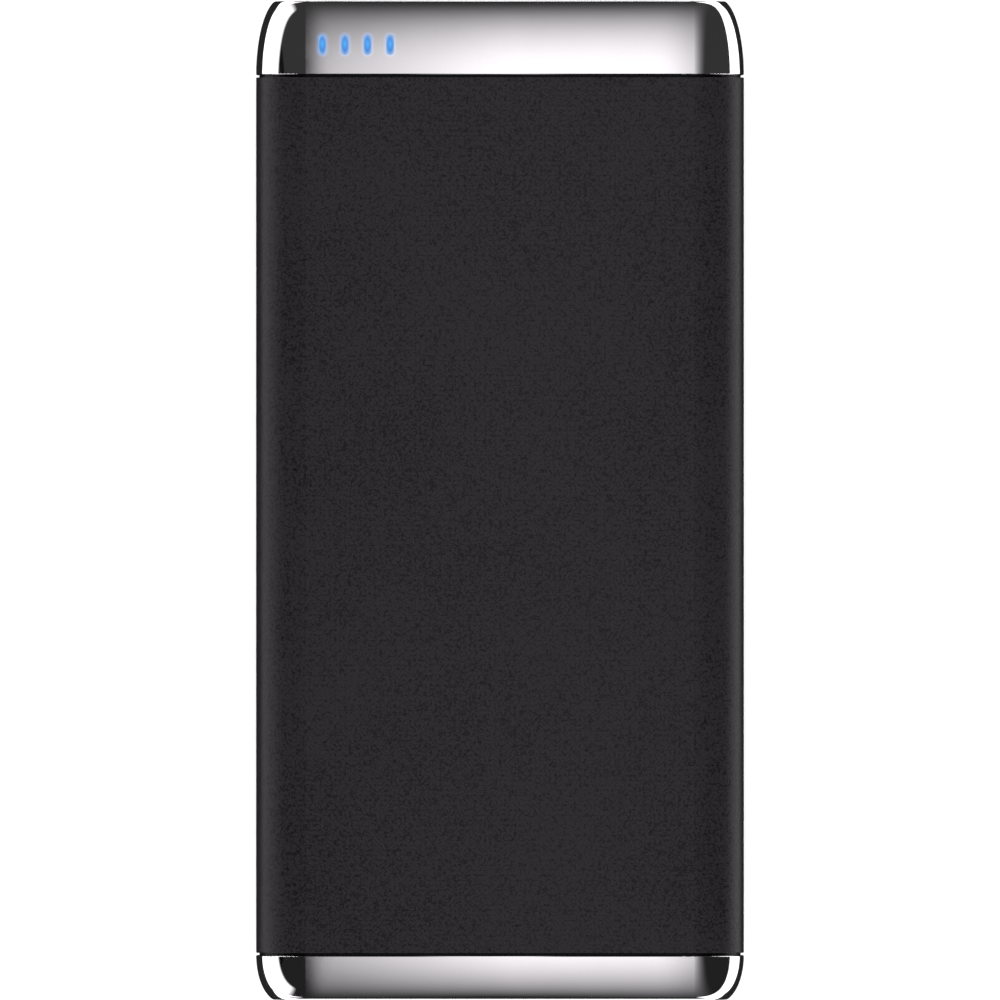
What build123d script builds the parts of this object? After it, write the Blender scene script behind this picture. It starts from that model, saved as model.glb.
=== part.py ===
from build123d import *

import os
from math import asin, degrees, sqrt, tan, radians

# Slim pocket power bank, lying on its back.
# X runs across the width, Y along the length (sockets at +Y), Z through the thickness.
# The origin is under the middle of the body, on the surface that it rests on.
# All sizes are in millimetres.

# ---------------------------------------------------------------- overall body
LENGTH = 150.0
WIDTH = 73.3
THICKNESS = 15.0
SHELL_WALL = 1.5          # moulded half shells

# ---------------------------------------------------------------- chromed end caps
TOP_CAP_HEIGHT = 11.1     # from its rim to its end face
BOTTOM_CAP_HEIGHT = 6.7
CROWN_INSET = 3.6         # semi-axis of the crown, across the body
CROWN_RUNOUT = 0.3        # the crown's ellipse would close this far past the end face
CAP_WALL = 1.2
CAP_END_WALL = 1.6
END_EDGE_RADIUS = 0.35    # round between crown and end face
RIM_EDGE_RADIUS = 0.25

# ---------------------------------------------------------------- joint of caps and shells
REVEAL_WIDTH = 0.35       # dark groove that is left between shell and cap
REVEAL_DEPTH = 0.5
SHELL_EDGE_RADIUS = 0.12
CAP_CLEARANCE = 0.1       # between spigot and cap at the spigot's tip
TOP_SPIGOT_LENGTH = 4.5
BOTTOM_SPIGOT_LENGTH = 4.2
SPIGOT_WALL = 1.0
NECK_LENGTH = 2.0         # thickened ring that carries each spigot
SNAP_LENGTH = 7.6         # snap ramps on the spigots
SNAP_WIDTH = 1.6
SNAP_BITE = 0.25
SNAP_X = 12.0
POCKET_MARGIN = 0.2
POCKET_DEPTH = 0.5

# ---------------------------------------------------------------- parting line of the shells
LIP_HEIGHT = 0.8
LIP_INSET = 0.8           # outer face of the lip, from the outside of the body
LIP_CLEARANCE = 0.1
PARTING_GROOVE = 0.12     # width and depth of the hairline groove between the shells

# ---------------------------------------------------------------- screws
SCREW_RADIUS = 0.85
SCREW_HEAD_RADIUS = 1.5
SCREW_HEAD_HEIGHT = 0.9
SCREW_SOCKET_RADIUS = 0.6
SCREW_SOCKET_DEPTH = 0.5
SCREW_CLEARANCE = 0.1
PILOT_CLEARANCE = 0.02
SHELL_SCREW_LENGTH = 6.0
SHELL_SCREW_INSET = 5.65  # from the side of the body
BOARD_SCREW_LENGTH = 4.0
BOARD_SCREW_X = 24.0
BOARD_SCREW_FROM_EDGE = 2.6
BOSS_RADIUS = 2.0

# ---------------------------------------------------------------- circuit board
BOARD_THICKNESS = 1.2
BOARD_LENGTH = 26.9
BOARD_FRONT_DEPTH = 2.6   # behind the end face
BOARD_SIDE_CLEARANCE = 0.4
BOARD_CORNER_RADIUS = 1.0
NOTCH_CLEARANCE = 0.1
SEAT_GAP = 0.02           # solder film or seating gap under a part

# ---------------------------------------------------------------- sockets
SOCKET_SET_BACK = 1.2     # mouths, behind the end face
PORT_CLEARANCE = 0.2      # sockets in the end wall
USB_A_X = (3.0, 19.0)
USB_A_WIDTH = 13.1
USB_A_HEIGHT = 5.7
USB_A_DEPTH = 14.0
USB_A_SHEET = 0.3
USB_A_TONGUE_WIDTH = 11.1
USB_A_TONGUE_THICKNESS = 1.84
USB_A_TONGUE_LENGTH = 8.88
USB_A_TONGUE_SET_BACK = 3.0
USB_A_TONGUE_RISE = 0.85  # tongue's middle above the socket's middle
USB_A_CORNER = 0.6
MICRO_X = -10.5
MICRO_WIDTH = 7.5
MICRO_HEIGHT = 2.6
MICRO_DEPTH = 5.6
MICRO_SHEET = 0.25
MICRO_TONGUE_WIDTH = 3.7
MICRO_TONGUE_THICKNESS = 0.6
MICRO_TONGUE_SET_BACK = 0.9
EAR_WIDTH = 0.9           # soldered ears on the sides of the sockets
EAR_LENGTH = 3.0
EAR_SHEET = 0.3
USB_A_PIN_X = (-3.5, -1.0, 1.0, 3.5)
USB_A_PIN_WIDTH = 1.0
MICRO_PIN_COUNT = 5
MICRO_PIN_PITCH = 0.65
MICRO_PIN_WIDTH = 0.35
PIN_THICKNESS = 0.2
PIN_TIP_MARGIN = 1.0

# ---------------------------------------------------------------- parts on the board
WORK_STRIP_MIDDLE = 7.0   # middle of the clear strip behind the sockets, from the board's back edge
CHIP_HEIGHT = 0.9
CHIP_CORNER = 0.2
CHIP_DIMPLE_RADIUS = 0.3
CHIP_DIMPLE_DEPTH = 0.1
CHARGER_CHIP_SIZE = 5.0
CHARGER_CHIP_X = -12.0
CHARGER_CHIP_AHEAD = 6.0  # in front of the work strip's middle
BOOST_CHIP_SIZE = 4.0
BOOST_CHIP_X = 0.5
BOOST_CHIP_AHEAD = -1.0
INDUCTOR_X = 8.5
INDUCTOR_SIZE = 6.6
INDUCTOR_HEIGHT = 3.6
INDUCTOR_CORNER = 1.1
INDUCTOR_RING_RADIUS = 2.75
INDUCTOR_CORE_RADIUS = 2.5
INDUCTOR_RING_DEPTH = 0.35
CAPACITOR_SIZE = (1.6, 3.2, 1.5)
CAPACITOR_PITCH = 2.6
CAPACITOR_ROW_X = 15.4
CAPACITOR_ROW_AHEAD = 2.4
INPUT_CAPACITOR_X = -6.2
INPUT_CAPACITOR_AHEAD = (8.0, 3.6)
RESISTOR_SIZE = (0.8, 1.6, 0.45)
RESISTOR_PITCH = 1.8
RESISTOR_ROW_X = -20.0
RESISTOR_ROW_AHEAD = 2.0
LIGHT_RESISTOR_SHIFT = 2.4
LIGHT_RESISTOR_BEHIND = 4.0

# ---------------------------------------------------------------- status lights
LIGHT_COUNT = 4
LIGHT_FIRST_X = -26.66
LIGHT_PITCH = 3.39
LIGHT_FROM_END = 6.6      # windows' middle, behind the end face
WINDOW_WIDTH = 1.2
WINDOW_LENGTH = 3.1
WINDOW_CLEARANCE = 0.04
LENS_SET_BACK = 0.06
PIPE_BAR_THICKNESS = 1.0
PIPE_GAP = 0.15
LED_WIDTH = 0.8
LED_LENGTH = 1.6
LED_HEIGHT = 0.7

# ---------------------------------------------------------------- power button and its switch
BUTTON_X = -21.6
BUTTON_LENGTH = 7.0
BUTTON_WIDTH = 3.0
BUTTON_SET_BACK = 0.1
BUTTON_CLEARANCE = 0.12
BUTTON_FLANGE_MARGIN = 0.5
BUTTON_FLANGE_THICKNESS = 0.5
BUTTON_FACE_ROUND = 0.25
BUTTON_TRAVEL = 0.25
SWITCH_LENGTH = 4.7
SWITCH_DEPTH = 2.5
SWITCH_HEIGHT = 1.6
SWITCH_WALL = 0.3
PLUNGER_LENGTH = 1.5
PLUNGER_HEIGHT = 0.7
PLUNGER_REACH = BUTTON_TRAVEL + 0.2   # out of the switch body at rest
PLUNGER_CLEARANCE = 0.06
DOME_THICKNESS = 0.08
DOME_CROWN = BUTTON_TRAVEL + 0.15     # stands this far off its feet at rest

# ---------------------------------------------------------------- cells and wiring
FOAM_THICKNESS = 0.5
TAPE_THICKNESS = 0.2
CELL_CLEARANCE = 0.3
CELL_EDGE_RADIUS = 1.2
WIRE_GAP = 7.4            # between the cells and the board
TAB_WIDTH = 5.0
TAB_THICKNESS = 0.15
TAB_LENGTH = 0.7
TAB_X = 14.0
INSULATOR_THICKNESS = 0.3
STRIP_THICKNESS = 0.2
STRIP_MARGIN = 1.0
LEAD_RADIUS = 0.5
LEAD_ON_BOARD = 3.4
LEAD_SHIFT = 2.5
FOAM_INSET = 4.0

# ---------------------------------------------------------------- worked out from the above
EDGE_RADIUS = THICKNESS / 2
HALF_SPAN = WIDTH / 2 - EDGE_RADIUS
MID_Z = THICKNESS / 2
END_Y = LENGTH / 2
TOP_RIM_Y = END_Y - TOP_CAP_HEIGHT
BOTTOM_RIM_Y = -END_Y + BOTTOM_CAP_HEIGHT
BOARD_TOP_Z = MID_Z + BOARD_THICKNESS / 2
BOARD_BOTTOM_Z = MID_Z - BOARD_THICKNESS / 2
BOARD_FRONT_Y = END_Y - BOARD_FRONT_DEPTH
BOARD_BACK_Y = BOARD_FRONT_Y - BOARD_LENGTH
MOUTH_Y = END_Y - SOCKET_SET_BACK
LIGHT_Y = END_Y - LIGHT_FROM_END
LIGHT_X = [LIGHT_FIRST_X + i * LIGHT_PITCH for i in range(LIGHT_COUNT)]
SHELL_SCREW_X = WIDTH / 2 - SHELL_SCREW_INSET
TOP_SCREW_Y = TOP_RIM_Y + TOP_SPIGOT_LENGTH / 2
BOTTOM_SCREW_Y = BOTTOM_RIM_Y - BOTTOM_SPIGOT_LENGTH / 2
BOARD_SCREW_Y = BOARD_BACK_Y + BOARD_SCREW_FROM_EDGE
WORK_Y = BOARD_BACK_Y + WORK_STRIP_MIDDLE


# ================================================================ shared shapes
def crown_drop(height, distance):
    """How far a cap of this height has drawn in, at a distance from its rim."""
    share = distance / (height + CROWN_RUNOUT)
    return CROWN_INSET * (1 - sqrt(1 - share * share))


def stadium(offset, y_low, y_high):
    """A bar with the body's round-sided section, set in by an offset."""
    radius = EDGE_RADIUS - offset
    place = Plane(origin=(0, y_low, MID_Z), x_dir=(1, 0, 0), z_dir=(0, 1, 0))
    return extrude(place * SlotOverall(2 * (HALF_SPAN + radius), 2 * radius), y_high - y_low)


def crown(offset, height, length):
    """A solid cap form that stands on y = 0: the section draws in along a quarter ellipse."""
    radius = EDGE_RADIUS - offset
    rise = height + CROWN_RUNOUT
    arc = EllipticalCenterArc(
        (radius - CROWN_INSET, 0), CROWN_INSET, rise, 0, arc_size=degrees(asin(length / rise))
    )
    outline = Polyline(arc @ 1, (0, length), (0, 0), arc @ 0)
    half = make_face(Curve() + [arc, outline])
    round_end = revolve(Rot(0, 90, 0) * half, Axis.Y, 180)
    across = half + mirror(half, Plane.YZ)
    start = Plane(origin=(-HALF_SPAN, 0, 0), x_dir=(0, 0, -1), z_dir=(1, 0, 0))
    middle = extrude(start * across, 2 * HALF_SPAN)
    return middle + Pos(-HALF_SPAN, 0, 0) * round_end + Pos(HALF_SPAN, 0, 0) * mirror(round_end, Plane.YZ)


def edges_at(body, y):
    """The edges that lie in the plane across the body at this Y."""
    return body.edges().filter_by_position(Axis.Y, y - 0.01, y + 0.01)


def block(x_size, y_size, z_size, x_mid, y_low, z_low):
    """A box given by its middle in X and its low sides in Y and Z."""
    where = Pos(x_mid, y_low, z_low)
    return where * Box(x_size, y_size, z_size, align=(Align.CENTER, Align.MIN, Align.MIN))


def post(radius, x, y, z_low, z_high):
    """An upright cylinder."""
    where = Pos(x, y, z_low)
    return where * Cylinder(radius, z_high - z_low, align=(Align.CENTER, Align.CENTER, Align.MIN))


def end_slot(length, width, x, z, y_low, y_high):
    """An obround bar along Y, long way across the body."""
    place = Plane(origin=(x, y_low, z), x_dir=(1, 0, 0), z_dir=(0, 1, 0))
    return extrude(place * SlotOverall(length, width), y_high - y_low)


def end_box(width, height, corner, x, z, y_low, y_high):
    """A bar along Y with a round-cornered rectangular section."""
    place = Plane(origin=(x, y_low, z), x_dir=(1, 0, 0), z_dir=(0, 1, 0))
    return extrude(place * RectangleRounded(width, height, corner), y_high - y_low)


def window_bar(width, length, x, z_low, z_high):
    """An upright obround bar at a status light, long way along the body."""
    place = Pos(x, LIGHT_Y, z_low)
    return extrude(place * SlotOverall(length, width, rotation=90), z_high - z_low)


def screw(x, y, z_seat, length, up):
    """A pan-head screw with a round driver recess; its shank points up or down from the seat."""
    way = 1 if up else -1
    tip = z_seat + way * length
    shank = post(SCREW_RADIUS, x, y, min(z_seat, tip), max(z_seat, tip))
    top = z_seat - way * SCREW_HEAD_HEIGHT
    head = post(SCREW_HEAD_RADIUS, x, y, min(z_seat, top), max(z_seat, top))
    inner = top + way * SCREW_SOCKET_DEPTH
    recess = post(SCREW_SOCKET_RADIUS, x, y, min(inner, top), max(inner, top))
    return shank + head - recess


# ================================================================ end caps
def cap_solid(height, spigot_length):
    """A hollow crowned cap with snap pockets, standing on y = 0 about the thickness middle."""
    outer = crown(0, height, height)
    outer = fillet(edges_at(outer, height), END_EDGE_RADIUS)
    outer = fillet(edges_at(outer, 0), RIM_EDGE_RADIUS)
    hollow = crown(CAP_WALL, height, height - CAP_END_WALL)
    body = outer - hollow
    wall_z = EDGE_RADIUS - CAP_WALL - crown_drop(height, spigot_length / 2)
    for x in (-SNAP_X, SNAP_X):
        for side in (-1, 1):
            pocket = Box(SNAP_LENGTH + 2 * POCKET_MARGIN, SNAP_WIDTH + 2 * POCKET_MARGIN, 2 * POCKET_DEPTH)
            body -= Pos(x, spigot_length / 2, side * wall_z) * pocket
    return body


def top_cap():
    cap = Pos(0, TOP_RIM_Y, MID_Z) * cap_solid(TOP_CAP_HEIGHT, TOP_SPIGOT_LENGTH)
    inside = END_Y - 2 * CAP_END_WALL
    outside = END_Y + 1
    gap = 2 * PORT_CLEARANCE
    for x in USB_A_X:
        width, height = USB_A_WIDTH + gap, USB_A_HEIGHT + gap
        cap -= end_box(width, height, USB_A_CORNER + gap / 2, x, MID_Z, inside, outside)
    cap -= end_box(MICRO_WIDTH + gap, MICRO_HEIGHT + gap, MICRO_HEIGHT / 4, MICRO_X, MID_Z, inside, outside)
    gap = 2 * BUTTON_CLEARANCE
    cap -= end_slot(BUTTON_LENGTH + gap, BUTTON_WIDTH + gap, BUTTON_X, MID_Z, inside, outside)
    for x in LIGHT_X:
        cap -= window_bar(WINDOW_WIDTH, WINDOW_LENGTH, x, MID_Z, THICKNESS + 1)
    return cap


def bottom_cap():
    cap = cap_solid(BOTTOM_CAP_HEIGHT, BOTTOM_SPIGOT_LENGTH)
    return Pos(0, BOTTOM_RIM_Y, MID_Z) * mirror(cap, Plane.XZ)


# ================================================================ half shells
def spigot_offset(cap_height, length):
    return CAP_WALL + CAP_CLEARANCE + crown_drop(cap_height, length)


TOP_SPIGOT_OFFSET = spigot_offset(TOP_CAP_HEIGHT, TOP_SPIGOT_LENGTH)
BOTTOM_SPIGOT_OFFSET = spigot_offset(BOTTOM_CAP_HEIGHT, BOTTOM_SPIGOT_LENGTH)


def head_seat(offset):
    """Height at which a shell screw's head seats, so that the head stays inside the round spigot."""
    reach = SHELL_SCREW_X + SCREW_HEAD_RADIUS - HALF_SPAN
    low = MID_Z - sqrt((EDGE_RADIUS - offset) ** 2 - reach ** 2)
    return low + SCREW_HEAD_HEIGHT + SCREW_CLEARANCE


TOP_SEAT_Z = head_seat(TOP_SPIGOT_OFFSET)
BOTTOM_SEAT_Z = head_seat(BOTTOM_SPIGOT_OFFSET)


def snap_ramp(cap_height, spigot_length, offset, side, x, rim_y, way):
    """A wedge on a spigot that clicks into a cap's pocket; it leads in from the spigot's tip."""
    middle = spigot_length / 2
    root = EDGE_RADIUS - offset
    crest = EDGE_RADIUS - CAP_WALL - crown_drop(cap_height, middle) + SNAP_BITE
    half = SNAP_WIDTH / 2
    points = [
        (rim_y + way * (middle - half), MID_Z + side * (root - SPIGOT_WALL / 2)),
        (rim_y + way * (middle - half), MID_Z + side * crest),
        (rim_y + way * (middle + half), MID_Z + side * root),
        (rim_y + way * (middle + half), MID_Z + side * (root - SPIGOT_WALL / 2)),
    ]
    face = Plane.YZ.offset(x - SNAP_LENGTH / 2) * make_face(Polyline(*points, close=True))
    return extrude(face, SNAP_LENGTH, dir=(1, 0, 0))


def sleeve():
    """Both shells as one tube: body, dark collars and spigots, hollow from end to end."""
    top_low = TOP_RIM_Y - REVEAL_WIDTH
    bottom_high = BOTTOM_RIM_Y + REVEAL_WIDTH
    body = stadium(0, bottom_high, top_low)
    body = fillet(edges_at(body, top_low), SHELL_EDGE_RADIUS)
    body = fillet(edges_at(body, bottom_high), SHELL_EDGE_RADIUS)
    body += stadium(REVEAL_DEPTH, BOTTOM_RIM_Y, TOP_RIM_Y)
    body += stadium(TOP_SPIGOT_OFFSET, TOP_RIM_Y - NECK_LENGTH, TOP_RIM_Y + TOP_SPIGOT_LENGTH)
    body += stadium(BOTTOM_SPIGOT_OFFSET, BOTTOM_RIM_Y - BOTTOM_SPIGOT_LENGTH, BOTTOM_RIM_Y + NECK_LENGTH)
    body -= stadium(SHELL_WALL, BOTTOM_RIM_Y + NECK_LENGTH, TOP_RIM_Y - NECK_LENGTH)
    body -= stadium(TOP_SPIGOT_OFFSET + SPIGOT_WALL, 0, TOP_RIM_Y + TOP_SPIGOT_LENGTH + 1)
    body -= stadium(BOTTOM_SPIGOT_OFFSET + SPIGOT_WALL, BOTTOM_RIM_Y - BOTTOM_SPIGOT_LENGTH - 1, 0)
    for x in (-SNAP_X, SNAP_X):
        for side in (-1, 1):
            body += snap_ramp(TOP_CAP_HEIGHT, TOP_SPIGOT_LENGTH, TOP_SPIGOT_OFFSET, side, x, TOP_RIM_Y, 1)
            body += snap_ramp(
                BOTTOM_CAP_HEIGHT, BOTTOM_SPIGOT_LENGTH, BOTTOM_SPIGOT_OFFSET, side, x, BOTTOM_RIM_Y, -1
            )
    return body


def lip_ring(outer, inner, depth):
    """The strip of wall just under the parting plane, along both sides."""
    low = BOTTOM_RIM_Y + NECK_LENGTH
    high = TOP_RIM_Y - NECK_LENGTH
    ring = stadium(outer, low, high) - stadium(inner, low, high)
    return ring & block(WIDTH, high - low, depth, 0, low, MID_Z - depth)


def shell_bosses(offset, y):
    """Solid screw bosses across the full thickness of a spigot, at both sides."""
    reach = SPIGOT_WALL / 2
    room = stadium(offset + reach, y - BOSS_RADIUS, y + BOSS_RADIUS)
    pair = Part()
    for x in (-SHELL_SCREW_X, SHELL_SCREW_X):
        pair += post(BOSS_RADIUS, x, y, 0, THICKNESS) & room
    return pair


def shells():
    """The front and the back half shell."""
    tube = sleeve()
    tube += shell_bosses(TOP_SPIGOT_OFFSET, TOP_SCREW_Y)
    tube += shell_bosses(BOTTOM_SPIGOT_OFFSET, BOTTOM_SCREW_Y)
    length = TOP_RIM_Y - BOTTOM_RIM_Y
    slice_z = MID_Z - PARTING_GROOVE / 2
    rim = block(2 * WIDTH, length, PARTING_GROOVE, 0, BOTTOM_RIM_Y, slice_z)
    tube -= rim - stadium(PARTING_GROOVE, BOTTOM_RIM_Y, TOP_RIM_Y)
    upper = block(2 * WIDTH, 2 * LENGTH, THICKNESS, 0, -LENGTH, MID_Z)
    front = tube & upper
    back = tube - upper
    front += lip_ring(LIP_INSET, SHELL_WALL, LIP_HEIGHT)
    back -= lip_ring(LIP_INSET - LIP_CLEARANCE, SHELL_WALL, LIP_HEIGHT + LIP_CLEARANCE)
    for x in (-SHELL_SCREW_X, SHELL_SCREW_X):
        for y, seat in ((TOP_SCREW_Y, TOP_SEAT_Z), (BOTTOM_SCREW_Y, BOTTOM_SEAT_Z)):
            back -= post(SCREW_RADIUS + SCREW_CLEARANCE, x, y, 0, THICKNESS)
            back -= post(SCREW_HEAD_RADIUS + SCREW_CLEARANCE, x, y, 0, seat)
            pilot_end = seat + SHELL_SCREW_LENGTH + SCREW_CLEARANCE
            front -= post(SCREW_RADIUS + PILOT_CLEARANCE, x, y, 0, pilot_end)
    # the front spigot is cut away around the light pipe
    front -= block(
        PIPE_LENGTH + 2 * PIPE_GAP, TOP_CAP_HEIGHT, THICKNESS, PIPE_MID_X, PIPE_LOW_Y - PIPE_GAP, MID_Z
    )
    # board posts stand on the inside of the back shell
    for x in (-BOARD_SCREW_X, BOARD_SCREW_X):
        back += post(BOSS_RADIUS, x, BOARD_SCREW_Y, SHELL_WALL / 2, BOARD_BOTTOM_Z)
        low = BOARD_TOP_Z - BOARD_SCREW_LENGTH - SCREW_CLEARANCE
        back -= post(SCREW_RADIUS + PILOT_CLEARANCE, x, BOARD_SCREW_Y, low, BOARD_BOTTOM_Z)
    return front, back


# ================================================================ light pipe and status lights
PIPE_LENGTH = (LIGHT_COUNT - 1) * LIGHT_PITCH + 2 * WINDOW_WIDTH
PIPE_MID_X = (LIGHT_X[0] + LIGHT_X[-1]) / 2
PIPE_WIDTH = WINDOW_LENGTH + 2 * PIPE_GAP
PIPE_LOW_Y = LIGHT_Y - PIPE_WIDTH / 2
PIPE_HIGH_Y = LIGHT_Y + PIPE_WIDTH / 2
PIPE_TOP_Z = THICKNESS - CAP_WALL - crown_drop(TOP_CAP_HEIGHT, PIPE_HIGH_Y - TOP_RIM_Y) - PIPE_GAP
PIPE_BOTTOM_Z = PIPE_TOP_Z - PIPE_BAR_THICKNESS
LED_TOP_Z = BOARD_TOP_Z + SEAT_GAP + LED_HEIGHT


def light_pipe():
    """A clear bar under the cap: a lens rises into each window, a post drops to each light."""
    pipe = block(PIPE_LENGTH, PIPE_WIDTH, PIPE_BAR_THICKNESS, PIPE_MID_X, PIPE_LOW_Y, PIPE_BOTTOM_Z)
    gap = 2 * WINDOW_CLEARANCE
    for x in LIGHT_X:
        pipe += window_bar(WINDOW_WIDTH - gap, WINDOW_LENGTH - gap, x, PIPE_BOTTOM_Z, THICKNESS)
        drop = PIPE_BOTTOM_Z - LED_TOP_Z - PIPE_GAP
        pipe += block(LED_WIDTH, LED_LENGTH, drop, x, LIGHT_Y - LED_LENGTH / 2, LED_TOP_Z + PIPE_GAP)
    # two legs stand on the board between the outer pairs of lights
    for i in (0, LIGHT_COUNT - 2):
        x = LIGHT_X[i] + LIGHT_PITCH / 2
        leg = PIPE_BOTTOM_Z - BOARD_TOP_Z
        pipe += block(LED_WIDTH, LED_LENGTH, leg, x, LIGHT_Y - LED_LENGTH / 2, BOARD_TOP_Z)
    skin = Pos(0, TOP_RIM_Y, MID_Z) * crown(LENS_SET_BACK, TOP_CAP_HEIGHT, TOP_CAP_HEIGHT)
    return pipe & skin


def status_led(x):
    body = block(LED_WIDTH, LED_LENGTH, LED_HEIGHT, x, LIGHT_Y - LED_LENGTH / 2, BOARD_TOP_Z + SEAT_GAP)
    return chamfer(body.edges().filter_by(Axis.X).group_by(Axis.Z)[-1], LED_HEIGHT / 5)


# ================================================================ power button and switch
SWITCH_FRONT_Y = BOARD_FRONT_Y - SEAT_GAP
SWITCH_BACK_Y = SWITCH_FRONT_Y - SWITCH_DEPTH
SWITCH_LOW_Z = BOARD_TOP_Z + SEAT_GAP
SWITCH_MID_Z = SWITCH_LOW_Z + SWITCH_HEIGHT / 2
PLUNGER_TIP_Y = SWITCH_FRONT_Y + PLUNGER_REACH
FLANGE_FRONT_Y = END_Y - CAP_END_WALL - SEAT_GAP
FLANGE_BACK_Y = FLANGE_FRONT_Y - BUTTON_FLANGE_THICKNESS
DOME_REAR_Y = SWITCH_BACK_Y + SWITCH_WALL + SEAT_GAP
DOME_CREST_Y = DOME_REAR_Y + DOME_THICKNESS + DOME_CROWN


def power_button():
    """An obround key through the end wall, with a flange behind it and a stub to the switch."""
    face_y = END_Y - BUTTON_SET_BACK
    key = end_slot(BUTTON_LENGTH, BUTTON_WIDTH, BUTTON_X, MID_Z, FLANGE_FRONT_Y, face_y)
    key = fillet(edges_at(key, face_y), BUTTON_FACE_ROUND)
    margin = 2 * BUTTON_FLANGE_MARGIN
    key += end_slot(
        BUTTON_LENGTH + margin, BUTTON_WIDTH + margin, BUTTON_X, MID_Z, FLANGE_BACK_Y, FLANGE_FRONT_Y
    )
    stub_low_z = SWITCH_MID_Z - PLUNGER_HEIGHT / 2
    key += block(
        PLUNGER_LENGTH, FLANGE_BACK_Y - PLUNGER_TIP_Y, PLUNGER_HEIGHT, BUTTON_X, PLUNGER_TIP_Y, stub_low_z
    )
    return key


def switch_body():
    """A side-push switch case: an open chamber for the dome and a slot for the plunger."""
    case = block(SWITCH_LENGTH, SWITCH_DEPTH, SWITCH_HEIGHT, BUTTON_X, SWITCH_BACK_Y, SWITCH_LOW_Z)
    wall = 2 * SWITCH_WALL
    case -= block(
        SWITCH_LENGTH - wall, SWITCH_DEPTH - wall, SWITCH_HEIGHT - wall,
        BUTTON_X, SWITCH_BACK_Y + SWITCH_WALL, SWITCH_LOW_Z + SWITCH_WALL,
    )
    gap = 2 * PLUNGER_CLEARANCE
    case -= block(
        PLUNGER_LENGTH + gap, wall, PLUNGER_HEIGHT + gap,
        BUTTON_X, SWITCH_FRONT_Y - wall, SWITCH_MID_Z - PLUNGER_HEIGHT / 2 - PLUNGER_CLEARANCE,
    )
    return case


def switch_plunger():
    """The switch's own stem: from the button's stub to the crest of the dome."""
    low_z = SWITCH_MID_Z - PLUNGER_HEIGHT / 2
    rear = DOME_CREST_Y
    stem = block(PLUNGER_LENGTH, PLUNGER_TIP_Y - rear, PLUNGER_HEIGHT, BUTTON_X, rear, low_z)
    collar_length = PLUNGER_LENGTH + 2 * SWITCH_WALL
    collar_depth = SWITCH_FRONT_Y - SWITCH_WALL - PLUNGER_CLEARANCE - rear
    return stem + block(collar_length, collar_depth, PLUNGER_HEIGHT, BUTTON_X, rear, low_z)


def switch_dome():
    """A bowed spring leaf that stands against the rear wall of the switch."""
    half = SWITCH_LENGTH / 2 - SWITCH_WALL - PLUNGER_CLEARANCE
    outer = ThreePointArc(
        (-half, DOME_REAR_Y + DOME_THICKNESS), (0, DOME_CREST_Y), (half, DOME_REAR_Y + DOME_THICKNESS)
    )
    inner = ThreePointArc((half, DOME_REAR_Y), (0, DOME_CREST_Y - DOME_THICKNESS), (-half, DOME_REAR_Y))
    ends = [Line(outer @ 1, inner @ 0), Line(inner @ 1, outer @ 0)]
    leaf = make_face(Curve() + [outer, inner] + ends)
    return extrude(Pos(BUTTON_X, 0, SWITCH_MID_Z - PLUNGER_HEIGHT / 2) * leaf, PLUNGER_HEIGHT)


# ================================================================ sockets
def usb_a_shell(x):
    """A folded steel socket shell, open at the mouth, with soldered ears on the board."""
    back = MOUTH_Y - USB_A_DEPTH
    tube = end_box(USB_A_WIDTH, USB_A_HEIGHT, USB_A_CORNER, x, MID_Z, back, MOUTH_Y)
    sheet = 2 * USB_A_SHEET
    inside = USB_A_CORNER - USB_A_SHEET
    tube -= end_box(
        USB_A_WIDTH - sheet, USB_A_HEIGHT - sheet, inside, x, MID_Z, back + USB_A_SHEET, MOUTH_Y + 1
    )
    for side in (-1, 1):
        middle = x + side * (USB_A_WIDTH + EAR_WIDTH) / 2
        tube += block(EAR_WIDTH, EAR_LENGTH, EAR_SHEET, middle, back + EAR_LENGTH, BOARD_TOP_Z)
    return tube


def usb_a_tongue(x):
    """The moulded insert: a block at the back of the shell and the tongue that carries the contacts."""
    back = MOUTH_Y - USB_A_DEPTH + USB_A_SHEET + SEAT_GAP
    root = MOUTH_Y - USB_A_TONGUE_SET_BACK - USB_A_TONGUE_LENGTH
    trim = 2 * (USB_A_SHEET + SEAT_GAP)
    insert = end_box(USB_A_WIDTH - trim, USB_A_HEIGHT - trim, USB_A_SHEET, x, MID_Z, back, root)
    low_z = MID_Z + USB_A_TONGUE_RISE - USB_A_TONGUE_THICKNESS / 2
    tongue = block(
        USB_A_TONGUE_WIDTH, USB_A_TONGUE_LENGTH, USB_A_TONGUE_THICKNESS, x, root, low_z
    )
    tip = tongue.edges().filter_by(Axis.X).group_by(Axis.Y)[-1]
    return insert + chamfer(tip, USB_A_TONGUE_THICKNESS / 6)


def usb_a_contacts(x):
    """Four flat spring contacts along the lower side of the tongue."""
    root = MOUTH_Y - USB_A_TONGUE_SET_BACK - USB_A_TONGUE_LENGTH
    top_z = MID_Z + USB_A_TONGUE_RISE - USB_A_TONGUE_THICKNESS / 2 - SEAT_GAP
    pins = []
    for pin_x in USB_A_PIN_X:
        length = USB_A_TONGUE_LENGTH - PIN_TIP_MARGIN - SEAT_GAP
        pins.append(
            block(USB_A_PIN_WIDTH, length, PIN_THICKNESS, x + pin_x, root + SEAT_GAP, top_z - PIN_THICKNESS)
        )
    return Compound(pins)


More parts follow.
